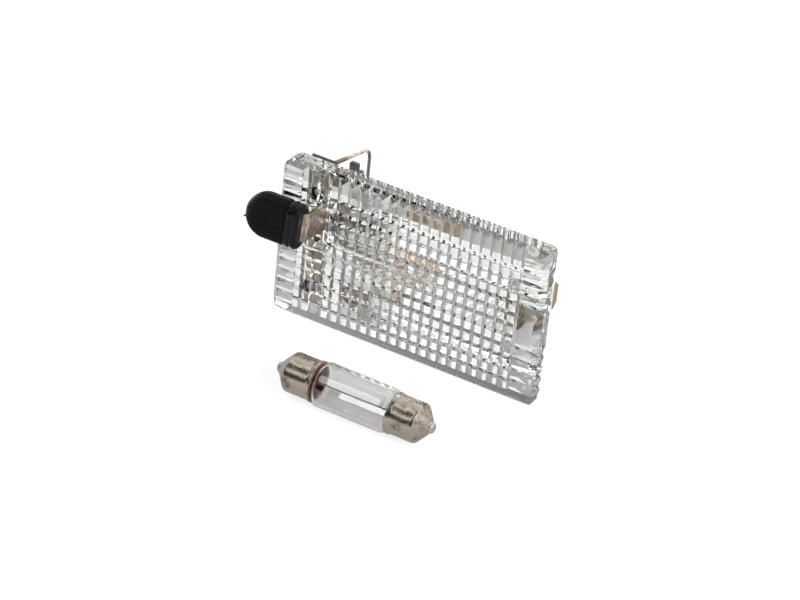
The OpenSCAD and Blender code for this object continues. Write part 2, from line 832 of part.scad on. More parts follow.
module glass_form(radius, neck, half, end) {
    rotate_extrude() glass_half_profile(radius, neck, half, end);
    mirror([0, 0, 1]) rotate_extrude() glass_half_profile(radius, neck, half, end);
}

module bulb_glass() {
    color([0.93, 0.95, 0.95, 0.35])
    at_bulb()
    difference() {
        glass_form(glass_radius, neck_radius, half_shown - 0.05, glass_end);
        glass_form(glass_radius - glass_wall, neck_radius - glass_wall, half_shown - 0.35, pinch_half);
    }
}

// Drawn cap: flared rim, straight skirt with crimped dimples, cone and soldered tip
module bulb_cap() {
    half = bulb_length / 2;
    difference() {
        rotate_extrude() polygon([
            [cap_inner, half_shown],
            [cap_radius + rim_flare, half_shown],
            [cap_radius + rim_flare, half_shown + 0.35],
            [cap_radius, half_shown + 0.9],
            [cap_radius, cone_start - 0.35],
            [cap_radius - 0.35, cone_start],
            [tip_radius + 0.35, cone_end],
            [tip_radius, cone_end + 0.15],
            [tip_radius * 0.86, half - 0.3],
            [tip_radius * 0.45, half - 0.05],
            [0, half],
            [0, cone_end - cap_wall],
            [tip_radius, cone_end - cap_wall],
            [cap_inner - 0.35, cone_start - cap_wall],
            [cap_inner, cone_start - cap_wall - 0.35]
        ]);
        for (i = [0:dimple_count - 1]) {
            rotate([0, 0, i * 360 / dimple_count])
                translate([cap_radius + dimple_radius - dimple_depth, 0, (half_shown + cone_start) / 2])
                    sphere(dimple_radius);
        }
    }
}

module bulb_cap_left() {
    color([0.62, 0.58, 0.52])
    at_bulb() mirror([0, 0, 1]) bulb_cap();
}

module bulb_cap_right() {
    color([0.66, 0.64, 0.6])
    at_bulb() bulb_cap();
}

// Cups of cement that fix the glass in the caps
module bulb_cement() {
    gap = 0.02;
    coat = 0.2;
    dish_radius = neck_radius * dish_share;
    color([0.38, 0.25, 0.18])
    at_bulb()
    for (side = [0, 1]) {
        mirror([0, 0, side])
        rotate_extrude() polygon([
            [neck_radius + gap, half_shown + 0.45],
            [neck_radius + coat, half_shown + 0.45],
            [neck_radius + coat, glass_end - neck_round + coat / 2],
            [dish_radius + coat, glass_end - dish_depth + coat],
            [0, glass_end + coat + gap],
            [0, glass_end + gap],
            [dish_radius + gap, glass_end - dish_depth + gap],
            [neck_radius + gap, glass_end - neck_round + gap]
        ]);
    }
}

// Wires that carry the filament from the two sealed ends
module bulb_leads() {
    color([0.5, 0.46, 0.44])
    at_bulb()
    for (side = [0, 1]) {
        mirror([0, 0, side])
        translate([0, 0, filament_half - 0.3])
            cylinder(h = pinch_half - filament_half + 0.3 - lead_gap, r = lead_radius);
    }
}

module bulb_filament() {
    color([0.35, 0.34, 0.34])
    at_bulb()
    translate([0, 0, -filament_half + 0.3])
        cylinder(h = 2 * filament_half - 0.6, r = filament_radius);
}

lens();
switch_knob();
switch_lever();
pivot_pin();
pivot_washers();
lever_bracket();
switch_plate();
return_contact();
door_contact();
earth_spring();
feed_plate();
feed_contact();
bracket_rivets();
door_rivets();
feed_rivets();
bulb_glass();
bulb_cap_left();
bulb_cap_right();
bulb_cement();
bulb_leads();
bulb_filament();
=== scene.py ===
"""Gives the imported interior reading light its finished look.

The clear lens, the knob, the switch, the contacts and the bulb get softened edges, modelled detail and
materials round the fixed frame, and a pale studio with the photograph's camera shows them.
"""

import math

import bmesh
import bpy
from bpy.props import FloatProperty, FloatVectorProperty, IntProperty, PointerProperty
from mathutils import Matrix, Vector, noise


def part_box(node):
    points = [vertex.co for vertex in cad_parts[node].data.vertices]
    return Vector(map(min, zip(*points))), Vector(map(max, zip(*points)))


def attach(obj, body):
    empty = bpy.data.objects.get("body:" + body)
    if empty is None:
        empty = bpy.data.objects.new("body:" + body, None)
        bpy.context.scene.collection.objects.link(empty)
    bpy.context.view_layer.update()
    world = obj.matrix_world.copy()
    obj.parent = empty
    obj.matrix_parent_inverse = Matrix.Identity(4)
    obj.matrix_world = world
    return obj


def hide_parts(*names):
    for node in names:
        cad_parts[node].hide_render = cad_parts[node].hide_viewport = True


bl_info = {
    "name": "Interior Reading Light",
    "version": (1, 0, 0),
    "blender": (4, 5, 0),
    "location": "3D View > Sidebar > Reading Light",
    "description": "Dresses a prismatic car reading light and its tubular bulb",
    "category": "Object",
}

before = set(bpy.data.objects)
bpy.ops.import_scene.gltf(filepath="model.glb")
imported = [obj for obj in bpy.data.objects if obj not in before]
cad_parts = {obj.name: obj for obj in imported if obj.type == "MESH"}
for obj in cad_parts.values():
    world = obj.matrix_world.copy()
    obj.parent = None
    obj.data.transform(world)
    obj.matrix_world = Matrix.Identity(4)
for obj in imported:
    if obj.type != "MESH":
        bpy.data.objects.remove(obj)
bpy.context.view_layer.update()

MM = 0.001
ROOT = "base"
LEVER = "lever"
WHITE = (1, 1, 1, 1)
PICTURE = (800, 600)

# Faces that meet at more than this angle keep a sharp edge between them.
SHARP = math.radians(28)

# The two colours of a colour mix and its result go by number, because other sockets share their names.
FIRST, SECOND, MIXED = 6, 7, 2

# Each lamp's name, place and size in metres, its power, and whether it shows through the clear parts.
LAMPS = (
    ("key", (-0.35, -0.35, 0.6), 0.4, 0.4, 4.0, True),
    ("fill", (0.5, -0.2, 0.35), 0.3, 0.3, 1.6, True),
    ("back", (0.1, 0.5, 0.45), 0.6, 0.3, 3.0, True),
    ("sheen", (-0.35, -0.35, 0.6), 0.7, 0.7, 2.4, False),
    ("glint", (0.5, -0.2, 0.35), 0.3, 0.3, 5.0, False),
)


def linear(code):
    """Linear RGBA of an sRGB hex colour such as #C8BFB0."""
    parts = [int(code[i : i + 2], 16) / 255 for i in (1, 3, 5)]
    low, bend, scale, power = 0.04045, 0.055, 12.92, 2.4
    return [c / scale if c <= low else ((c + bend) / (1 + bend)) ** power for c in parts] + [1.0]


def length(label, description, millimetres, most=50.0):
    """A length property, given in millimetres and kept in metres."""
    return FloatProperty(
        name=label, description=description, default=millimetres * MM, min=0.0, max=most * MM,
        precision=5, unit="LENGTH",
    )


def angle(label, description, degrees):
    """An angle property, given in degrees and kept in radians."""
    return FloatProperty(name=label, description=description, default=math.radians(degrees), subtype="ANGLE")


def colour(label, description, code):
    """A colour property that starts at an sRGB hex colour."""
    return FloatVectorProperty(
        name=label, description=description, default=linear(code), size=4, min=0.0, max=1.0,
        subtype="COLOR",
    )


class LensSettings(bpy.types.PropertyGroup):
    edge_round: length("Edge Rounding", "Radius left on the ridges and valleys of the prisms", 0.035)
    ripple_size: length("Ripple Size", "Spacing of the moulding's slight waves", 2.2)
    ripple_depth: length("Ripple Depth", "Depth of the moulding's slight waves", 0.012)
    groove_pitch: length("Margin Groove Pitch", "Spacing of the level grooves across both end margins", 2.6)
    groove_depth: length("Margin Groove Depth", "Depth of the level grooves across both end margins", 0.5)
    ridge_flat: length("Ridge Flat", "Width left flat between two margin grooves", 0.06)
    margin: length("Margin Start", "Distance of both end margins from the middle of the lens", 25.4)
    window_low: length("Window Foot", "Lower edge of the plain window in the right margin", 13.0)
    window_top: length("Window Head", "Upper edge of the plain window in the right margin", 20.8)
    stud_foot: length("Stud Foot", "Back of the lens, where its melted studs start", 2.2)
    tint: colour("Tint", "Cast of the clear acrylic", "#F7F8F7")


class KnobSettings(bpy.types.PropertyGroup):
    tilt: angle("Rest Tilt", "Turn of the lever about its pin at rest, downward", -7.3)
    reach: length("Length", "Length of the moulding, without the burr on its nose", 12.8)
    edge: length("Edge Radius", "Radius of the long edges", 2.3)
    collar: length("Collar", "Length of the smooth collar at the lever's end", 3.0)
    collar_edge: length("Collar Edge", "Radius of the collar's end", 0.9)
    band_depth: length("Band Depth", "Depth of the two valleys across the collar", 0.24)
    band_width: length("Band Width", "Half the width of a valley across the collar", 0.3)
    burr_drop: length("Burr Drop", "Distance of the burr under the middle of the nose", 1.5)
    burr_reach: length("Burr Length", "Length of the burr", 1.2)
    grips: IntProperty(name="Grips", description="Grooves on each face and round its edges", default=17,
                       min=1, max=21)
    grip_pitch: length("Grip Pitch", "Spacing of the grooves, across the face", 0.74)
    grip_radius: length("Grip Radius", "Radius of a groove", 0.3)
    plastic: colour("Plastic", "Black of the knob", "#040405")
    grain_size: length("Grain Size", "Size of the spark-eroded grain", 0.12)


class MetalSettings(bpy.types.PropertyGroup):
    edge_round: length("Edge Rounding", "Radius on the sheared edges of the sheet parts", 0.06)
    head_round: length("Head Rounding", "Radius on the heads of the pin and rivets", 0.18)
    steel: colour("Steel", "Dull nickel plate on the lever", "#B3A69C")
    steel_stain: colour("Steel Stain", "Brown stains on the lever", "#7A5F48")
    bracket: colour("Bracket", "Plated steel of the bracket", "#C4C0B9")
    bracket_stain: colour("Bracket Stain", "Dull patches on the bracket", "#8A857C")
    tongue: colour("Tongue", "Bare dark steel at the top of the bracket's tongue", "#4E4B48")
    tongue_low: length("Tongue Foot", "Height above which the bracket is dark", 33.0)
    bronze: colour("Bronze", "Tarnished bronze of the contacts", "#BFA584")
    bronze_stain: colour("Bronze Stain", "Browner patches on the contacts", "#93714C")
    # Painted shade: the top of the earth spring's strip is painted dark brown for the shade along its edge.
    strip_painted_shade: colour("Strip Top", "Browned bronze at the top of the earth spring's strip", "#5F4A36")
    strip_pale: colour("Strip", "Bronze of the earth spring's strip, lower down", "#B5A995")
    # Height at which the painted shade on the strip starts.
    strip_shade_start: length("Strip Turn", "Height at which the strip's brown fades", 32.5)
    # Painted highlight: the finger's run is painted pale, as lit from above, with patches of painted golden
    # reflection.
    finger_painted_highlight: colour("Finger", "Rubbed, pale top of the finger", "#C9C4BA")
    finger_painted_reflections: colour("Finger Patches", "Golden patches on the finger", "#A88450")
    # Painted shade: the finger's leg is painted dark grey.
    leg_painted_shade: colour("Leg", "Dark grey leg of the finger", "#77736E")
    # These two places bound the finger's painted highlight and the leg's painted shade.
    finger_front: length("Finger Front", "Place of the finger's first bend, behind the lens's middle", 7.0)
    finger_back: length("Finger Back", "Place of the finger's knee, behind the lens's middle", 15.6)
    brass: colour("Brass", "Dull brass of the rivets and washers", "#A99C86")
    washer_stain: colour("Washer Stain", "Tarnish on the washers", "#7A5E36")
    rivet_stain: colour("Rivet Stain", "Tarnish on the rivets", "#6E5230")
    zinc: colour("Zinc", "Plated pivot pin", "#B9B8B2")
    zinc_stain: colour("Zinc Stain", "Dull patches on the pivot pin", "#8A877F")
    sheet: colour("Sheet", "Clear polycarbonate of the plates", "#F2F3F2")


class BulbSettings(bpy.types.PropertyGroup):
    glass: colour("Glass", "Cast of the clear glass", "#FFFFFF")
    glass_wall: length("Glass Wall", "Thickness of the glass tube", 0.55)
    dent_depth: length("Dent Depth", "Depth of the crimps in the caps", 0.09)
    coil_radius: length("Coil Radius", "Radius of the filament's coil", 0.13)
    coil_pitch: length("Coil Pitch", "Spacing of the filament's turns", 0.12)
    wire_radius: length("Wire Radius", "Radius of the filament's wire", 0.03)
    lead_radius: length("Lead Radius", "Radius of the lead wires", 0.17)
    wire: colour("Wire", "Dull grey of the leads and the filament", "#6B6A6A")
    nickel: colour("Nickel", "Nickel plate of the caps", "#B8AEA1")
    stain: colour("Stain", "Heat stain on the caps", "#54473A")
    cement: colour("Cement", "Baked cement in the caps", "#7E4433")
    cement_pale: colour("Pale Cement", "Pale blotches in the cement", "#B07A68")
    solder: colour("Solder", "Solder on the tips", "#C9C7C0")
    solder_stain: colour("Solder Stain", "Dull patches on the solder", "#8F8C86")


class StageSettings(bpy.types.PropertyGroup):
    azimuth: angle("Azimuth", "Turn of the camera round the light, from straight ahead", 26.414)
    elevation: angle("Elevation", "Height of the camera above the surface", 33.553)
    roll: angle("Roll", "Turn of the camera about its own axis", 6.072)
    distance: length("Distance", "From the camera to the lens's lower edge", 738.43, 2000)
    focal: FloatProperty(name="Focal Length", description="Focal length on a full-frame sensor",
                         default=163.44, unit="CAMERA")
    aim_column: FloatProperty(name="Aim Column", description="Picture column of the aim point",
                              default=397.09, subtype="PIXEL")
    aim_row: FloatProperty(name="Aim Row", description="Picture row of the aim point",
                           default=357.72, subtype="PIXEL")
    floor_size: length("Floor Size", "Length of the floor's side", 3000, 9000)
    floor: colour("Floor", "Pale floor", "#F2F2F2")
    room: colour("Room", "Dark room on the camera's side", "#1C1C1E")
    # Painted shade: a grey pool on the floor round the light, which only glass and metal see. The four
    # settings below place it and fade it.
    pool: colour("Pool", "Floor close to the light, as the prisms show it", "#5A5955")
    pool_x: length("Pool Place", "Middle of the greyer floor, along the lens", 30, 300)
    pool_y: length("Pool Depth", "Middle of the greyer floor, behind the lens", 70, 300)
    pool_near: length("Pool Start", "Distance at which the greyer floor starts to fade", 50, 900)
    pool_far: length("Pool End", "Distance at which the floor is white", 190, 900)


GROUPS = {
    "lens": LensSettings, "knob": KnobSettings, "metal": MetalSettings, "bulb": BulbSettings,
    "stage": StageSettings,
}


class ReadingLightSettings(bpy.types.PropertyGroup):
    lens: PointerProperty(name="Lens", type=LensSettings)
    knob: PointerProperty(name="Knob", type=KnobSettings)
    metal: PointerProperty(name="Metal", type=MetalSettings)
    bulb: PointerProperty(name="Bulb", type=BulbSettings)
    stage: PointerProperty(name="Stage", type=StageSettings)


def add_node(tree, kind, inputs=None, **settings):
    """Adds a node. An input is a value, an output socket, or a node whose first output is linked."""
    made = tree.nodes.new(kind)
    for name, value in settings.items():
        setattr(made, name, value)
    for key, value in (inputs or {}).items():
        if isinstance(value, bpy.types.Node):
            value = value.outputs[0]
        if isinstance(value, bpy.types.NodeSocket):
            tree.links.new(value, made.inputs[key])
        else:
            made.inputs[key].default_value = value
    return made


def start_material(name):
    """An empty material, its node tree and the object's own coordinates."""
    made = bpy.data.materials.new(name)
    made.use_nodes = True
    tree = made.node_tree
    tree.nodes.clear()
    return made, tree, add_node(tree, "ShaderNodeTexCoord").outputs["Object"]


def finish_material(made, looks):
    """Gives a material its shader, whose sockets take the looks."""
    shader = add_node(made.node_tree, "ShaderNodeBsdfPrincipled", looks)
    add_node(made.node_tree, "ShaderNodeOutputMaterial", {"Surface": shader})
    return made


def acrylic_moulded(lens):
    """Acrylic, injection moulded in a polished tool: clear and bright, with faint waves that bend what shows
    through. Where its studs were melted over, it is hazy and dull."""
    made, tree, place = start_material("acrylic_moulded")
    waves = add_node(tree, "ShaderNodeTexNoise", {
        "Vector": place, "Scale": 1 / lens.ripple_size, "Detail": 1.0, "Roughness": 0.55,
    })
    ripple = add_node(tree, "ShaderNodeBump", {"Height": waves, "Distance": lens.ripple_depth})
    behind = add_node(tree, "ShaderNodeSeparateXYZ", {"Vector": place}).outputs["Y"]
    melted = {"Value": behind, "From Min": lens.stud_foot, "From Max": lens.stud_foot + 0.2 * MM}
    dull = add_node(tree, "ShaderNodeMapRange", {**melted, "To Min": 0.02, "To Max": 0.5})
    clear = add_node(tree, "ShaderNodeMapRange", {**melted, "To Min": 1.0, "To Max": 0.45})
    return finish_material(made, {
        "Base Color": lens.tint, "Roughness": dull, "IOR": 1.53, "Transmission Weight": clear,
        "Normal": ripple,
    })


def thermoset_moulded(knob):
    """Black phenolic moulding, satin from a spark-eroded tool: soft broad highlights broken by fine grain.
    The grain is drawn coarser than the real one, so that it shows."""
    made, tree, place = start_material("thermoset_moulded")
    grain = add_node(tree, "ShaderNodeTexNoise", {
        "Vector": place, "Scale": 1 / knob.grain_size, "Detail": 2.0, "Roughness": 0.55,
    })
    relief = add_node(tree, "ShaderNodeBump", {"Height": grain, "Distance": 0.008 * MM})
    worn = add_node(tree, "ShaderNodeTexNoise", {
        "Vector": place, "Scale": 1 / (3 * MM), "Detail": 3.0, "Roughness": 0.55,
    })
    satin = add_node(tree, "ShaderNodeMapRange", {
        "Value": worn, "From Min": 0.35, "From Max": 0.7, "To Min": 0.2, "To Max": 0.32,
    })
    return finish_material(made, {
        "Base Color": knob.plastic, "Roughness": satin, "IOR": 1.5, "Specular IOR Level": 0.22,
        "Normal": relief,
    })


def worn_metal(name, tone, stain, patch, roughness, stain_share, ripple=0.01 * MM, bare=1.0, top=None):
    """A metal with stains of a patch's size, duller and brighter specks, and slight waves. bare is under 1
    where it is tarnished, and top is a height with the tone above it."""
    made, tree, place = start_material(name)
    cloud = add_node(tree, "ShaderNodeTexNoise", {
        "Vector": place, "Scale": 1 / patch, "Detail": 4.0, "Roughness": 0.62,
    })
    specks = add_node(tree, "ShaderNodeTexNoise", {
        "Vector": place, "Scale": 6 / patch, "Detail": 3.0, "Roughness": 0.6,
    })
    if top:
        height, upper_tone = top
        up = add_node(tree, "ShaderNodeSeparateXYZ", {"Vector": place}).outputs["Z"]
        above = add_node(tree, "ShaderNodeMapRange", {
            "Value": up, "From Min": height, "From Max": height + 1 * MM,
        })
        tone = add_node(tree, "ShaderNodeMix", {
            "Factor": above, FIRST: tone, SECOND: upper_tone,
        }, data_type="RGBA").outputs[MIXED]
    stained = add_node(tree, "ShaderNodeMapRange", {
        "Value": cloud, "From Min": 0.62 - stain_share, "From Max": 0.72,
    })
    skin = add_node(tree, "ShaderNodeMix", {
        "Factor": stained, FIRST: tone, SECOND: stain,
    }, data_type="RGBA").outputs[MIXED]
    smoothest, dullest = roughness
    dull = add_node(tree, "ShaderNodeMapRange", {
        "Value": specks, "From Min": 0.3, "From Max": 0.75, "To Min": smoothest, "To Max": dullest,
    })
    waves = add_node(tree, "ShaderNodeBump", {"Height": cloud, "Distance": ripple})
    return finish_material(made, {
        "Base Color": skin, "Metallic": bare, "Roughness": dull, "Normal": waves,
    })


def spring_rolled(metal):
    """Phosphor bronze, rolled, with light and shade painted in: painted shade browns the strip's top, the
    finger has a pale painted highlight with patches of painted golden reflection, and painted shade greys its
    leg."""
    made, tree, place = start_material("phosphor_bronze_painted_light")
    axes = add_node(tree, "ShaderNodeSeparateXYZ", {"Vector": place})
    cloud = add_node(tree, "ShaderNodeTexNoise", {
        "Vector": place, "Scale": 1 / (1.5 * MM), "Detail": 3.0, "Roughness": 0.6,
    })
    # Painted highlight on the finger's run, broken by patches of painted golden reflection.
    patches = add_node(tree, "ShaderNodeMapRange", {"Value": cloud, "From Min": 0.5, "From Max": 0.6})
    finger = add_node(tree, "ShaderNodeMix", {
        "Factor": patches, FIRST: metal.finger_painted_highlight, SECOND: metal.finger_painted_reflections,
    }, data_type="RGBA").outputs[MIXED]
    # Painted shade at the strip's top, the painted finger past its first bend, and painted shade on the leg
    # past its knee.
    stretches = (
        (axes.outputs["Z"], metal.strip_shade_start, 2 * MM, metal.strip_painted_shade),
        (axes.outputs["Y"], metal.finger_front, 1 * MM, finger),
        (axes.outputs["Y"], metal.finger_back, 1 * MM, metal.leg_painted_shade),
    )
    skin = metal.strip_pale
    for way, start, fade, tone in stretches:
        past = add_node(tree, "ShaderNodeMapRange", {
            "Value": way, "From Min": start, "From Max": start + fade,
        })
        skin = add_node(tree, "ShaderNodeMix", {
            "Factor": past, FIRST: skin, SECOND: tone,
        }, data_type="RGBA").outputs[MIXED]
    waves = add_node(tree, "ShaderNodeBump", {"Height": cloud, "Distance": 0.02 * MM})
    return finish_material(made, {
        "Base Color": skin, "Metallic": 0.6, "Roughness": 0.34, "Normal": waves,
    })


def sheet_punched(metal):
    """Polycarbonate sheet, punched: clear, with a faint haze from handling. It is see-through by alpha,
    because refraction turned parts of it black behind the lens."""
    made, tree, place = start_material("polycarbonate_sheet_punched")
    haze = add_node(tree, "ShaderNodeTexNoise", {
        "Vector": place, "Scale": 1 / (3 * MM), "Detail": 3.0, "Roughness": 0.55,
    })
    handled = add_node(tree, "ShaderNodeMapRange", {
        "Value": haze, "From Min": 0.4, "From Max": 0.8, "To Min": 0.03, "To Max": 0.16,
    })
    return finish_material(made, {"Base Color": metal.sheet, "Roughness": handled, "IOR": 1.58, "Alpha": 0.3})


def glass_drawn(bulb):
    """Soda-lime glass, drawn as a tube: clear, with long faint streaks along its length."""
    made, tree, place = start_material("soda_glass_drawn")
    drawn_out = 30
    along = add_node(tree, "ShaderNodeMapping", {"Vector": place, "Scale": (1 / drawn_out, 1, 1)})
    streaks = add_node(tree, "ShaderNodeTexNoise", {
        "Vector": along, "Scale": 1 / (0.9 * MM), "Detail": 1.0, "Roughness": 0.5,
    })
    relief = add_node(tree, "ShaderNodeBump", {"Height": streaks, "Distance": 0.006 * MM})
    return finish_material(made, {
        "Base Color": bulb.glass, "Roughness": 0.0, "IOR": 1.5, "Transmission Weight": 1.0, "Normal": relief,
    })


def cement_baked(bulb):
    """Resin cement, baked: reddish brown and slightly glossy, with pale blotches."""
    made, tree, place = start_material("resin_cement_baked")
    cloud = add_node(tree, "ShaderNodeTexNoise", {
        "Vector": place, "Scale": 1 / (0.9 * MM), "Detail": 4.0, "Roughness": 0.6,
    })
    blotches = add_node(tree, "ShaderNodeMapRange", {"Value": cloud, "From Min": 0.45, "From Max": 0.75})
    skin = add_node(tree, "ShaderNodeMix", {
        "Factor": blotches, FIRST: bulb.cement, SECOND: bulb.cement_pale,
    }, data_type="RGBA").outputs[MIXED]
    relief = add_node(tree, "ShaderNodeBump", {"Height": cloud, "Distance": 0.05 * MM})
    return finish_material(made, {"Base Color": skin, "Roughness": 0.34, "IOR": 1.55, "Normal": relief})


def wire_drawn(name, bulb):
    """Lamp wire, drawn: dark grey with a dull sheen."""
    made = start_material(name)[0]
    return finish_material(made, {"Base Color": bulb.wire, "Metallic": 1.0, "Roughness": 0.45})


def show(name, mesh, materials, body, replaces):
    """Puts a finished mesh in the scene on its body, and hides the CAD node that it replaces."""
    piece = bpy.data.objects.new(name, mesh)
    bpy.context.scene.collection.objects.link(piece)
    for material in materials:
        mesh.materials.append(material)
    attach(piece, body)
    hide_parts(replaces)
    return piece


def cad_copy(node):
    """A copy of a CAD node's mesh with its flat faces joined up again."""
    weld, flat = 0.0005 * MM, math.radians(0.6)
    mesh = bpy.data.meshes.new(node + "_form")
    form = bmesh.new()
    form.from_mesh(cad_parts[node].data)
    bmesh.ops.remove_doubles(form, verts=form.verts, dist=weld)
    bmesh.ops.dissolve_limit(form, angle_limit=flat, verts=form.verts, edges=form.edges)
    form.to_mesh(mesh)
    form.free()
    mesh.shade_smooth()
    return mesh


def softened(node, name, material, body, radius, segments=2, mesh=None):
    """The CAD node's form, or a mesh made from it, with its sharp edges rounded as a moulded edge is."""
    piece = show(name, mesh or cad_copy(node), [material], body, node)
    bevel = piece.modifiers.new("edge_rounding", "BEVEL")
    bevel.width = radius
    bevel.segments = segments
    bevel.limit_method = "ANGLE"
    bevel.angle_limit = SHARP
    bevel.harden_normals = True
    bevel.miter_outer = "MITER_ARC"
    return piece


def revolved(profile, steps, shift=None):
    """A form of (radius, along) points turned about X. shift(radius, along, around) moves a point out."""
    axis = 1e-9
    form = bmesh.new()
    rings = []
    for radius, along in profile:
        if radius < axis:
            rings.append([form.verts.new((along, 0, 0))])
            continue
        ring = []
        for i in range(steps):
            around = 2 * math.pi * i / steps
            moved = radius + (shift(radius, along, around) if shift else 0)
            ring.append(form.verts.new((along, moved * math.cos(around), moved * math.sin(around))))
        rings.append(ring)
    for a, b in zip(rings, rings[1:]):
        for i in range(steps):
            j = (i + 1) % steps
            corners = [a[i % len(a)], a[j % len(a)], b[j % len(b)], b[i % len(b)]]
            unique = list(dict.fromkeys(corners))
            if len(unique) > 2:
                form.faces.new(unique)
    return form


def join(form, part):
    """Adds a part to a form, and frees the part."""
    mesh = bpy.data.meshes.new("part")
    part.to_mesh(mesh)
    part.free()
    form.from_mesh(mesh)
    bpy.data.meshes.remove(mesh)


def finish_mesh(form, name, place=None, outward=True):
    """Turns a form to a smooth mesh, moved by a matrix if one is given. Its faces are turned outward, unless
    they already face as they should."""
    if outward:
        bmesh.ops.recalc_face_normals(form, faces=form.faces)
    if place:
        form.transform(place)
    mesh = bpy.data.meshes.new(name)
    form.to_mesh(mesh)
    form.free()
    mesh.shade_smooth()
    return mesh


def rounded_section(half_width, half_height, radius, count):
    """Points round a rectangle with rounded corners, evenly spaced. Each comes with its outward normal and
    its distance round the edge from the middle of the nearer tall side."""
    wide, tall, arc = 2 * (half_width - radius), 2 * (half_height - radius), math.pi / 2 * radius
    corners = ((1, 1, 0), (-1, 1, 90), (-1, -1, 180), (1, -1, 270))
    runs = (arc, wide, arc, tall, arc, wide, arc, tall)
    total = sum(runs)
    section = []
    for k in range(count):
        left = total * k / count
        from_middle = (left + tall / 2 + total / 4) % (total / 2) - total / 4
        step = 0
        while left > runs[step] and step < len(runs) - 1:
            left -= runs[step]
            step += 1
        right, up, start = corners[step // 2]
        around = math.radians(start) + (left / radius if step % 2 == 0 else math.pi / 2)
        normal = Vector((math.cos(around), math.sin(around)))
        point = Vector((right * wide / 2, up * tall / 2)) + normal * radius
        if step % 2:
            point += Vector((-normal.y, normal.x)) * left
        section.append((point, normal, from_middle))
    return section


def tube(form, points, radius, sides):
    """Adds a round wire along the points, with flat ends."""
    rings = []
    for i, point in enumerate(points):
        ahead = points[min(i + 1, len(points) - 1)] - points[max(i - 1, 0)]
        turn = ahead.to_track_quat("X", "Z").to_matrix()
        ring = []
        for k in range(sides):
            around = 2 * math.pi * k / sides
            rim = Vector((0, radius * math.cos(around), radius * math.sin(around)))
            ring.append(form.verts.new(point + turn @ rim))
        rings.append(ring)
    for a, b in zip(rings, rings[1:]):
        for k in range(sides):
            m = (k + 1) % sides
            form.faces.new((a[k], a[m], b[m], b[k]))
    form.faces.new(rings[0])
    form.faces.new(reversed(rings[-1]))


class READING_OT_lens(bpy.types.Operator):
    """Moulds the prismatic lens"""

    bl_idname = "reading.lens"
    bl_label = "Lens"

    def execute(self, context):
        lens = context.scene.reading_light.lens
        softened("lens", "lens_moulding", acrylic_moulded(lens), ROOT, lens.edge_round,
                 mesh=self.cut_margins(context, lens))
        return {"FINISHED"}

    def cut_margins(self, context, lens):
        """The lens with level V grooves across both end margins of its front, apart from the plain window."""
        blank = bpy.data.objects.new("blank", cad_copy("lens"))
        comb = bpy.data.objects.new("comb", self.shape_comb(lens))
        for tool in (blank, comb):
            context.scene.collection.objects.link(tool)
        cut = blank.modifiers.new("margin_grooves", "BOOLEAN")
        cut.operation = "DIFFERENCE"
        cut.solver = "EXACT"
        cut.object = comb
        shaped = blank.evaluated_get(context.evaluated_depsgraph_get())
        mesh = bpy.data.meshes.new_from_object(shaped)
        for tool in (blank, comb):
            bpy.data.objects.remove(tool)
        mesh.set_sharp_from_angle(angle=SHARP)
        return mesh

    def shape_comb(self, lens):
        """The cutter: one five-sided prism for each groove, which reaches past the lens."""
        low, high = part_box("lens")
        past = 1 * MM
        half = (lens.groove_pitch - lens.ridge_flat) / 2
        form = bmesh.new()
        for side in (-1, 1):
            for row in range(round(high.z / lens.groove_pitch) + 1):
                z = row * lens.groove_pitch
                if side > 0 and lens.window_low < z < lens.window_top:
                    continue
                section = [(low.y - past, z - half), (low.y - past, z + half), (low.y, z + half),
                           (low.y + lens.groove_depth, z), (low.y, z - half)]
                ends = [[form.verts.new((x, *point)) for point in section]
                        for x in (side * lens.margin, side * (high.x + past))]
                form.faces.new(ends[0])
                form.faces.new(ends[1])
                for i in range(len(section)):
                    j = (i + 1) % len(section)
                    form.faces.new((ends[0][i], ends[0][j], ends[1][j], ends[1][i]))
        return finish_mesh(form, "comb")


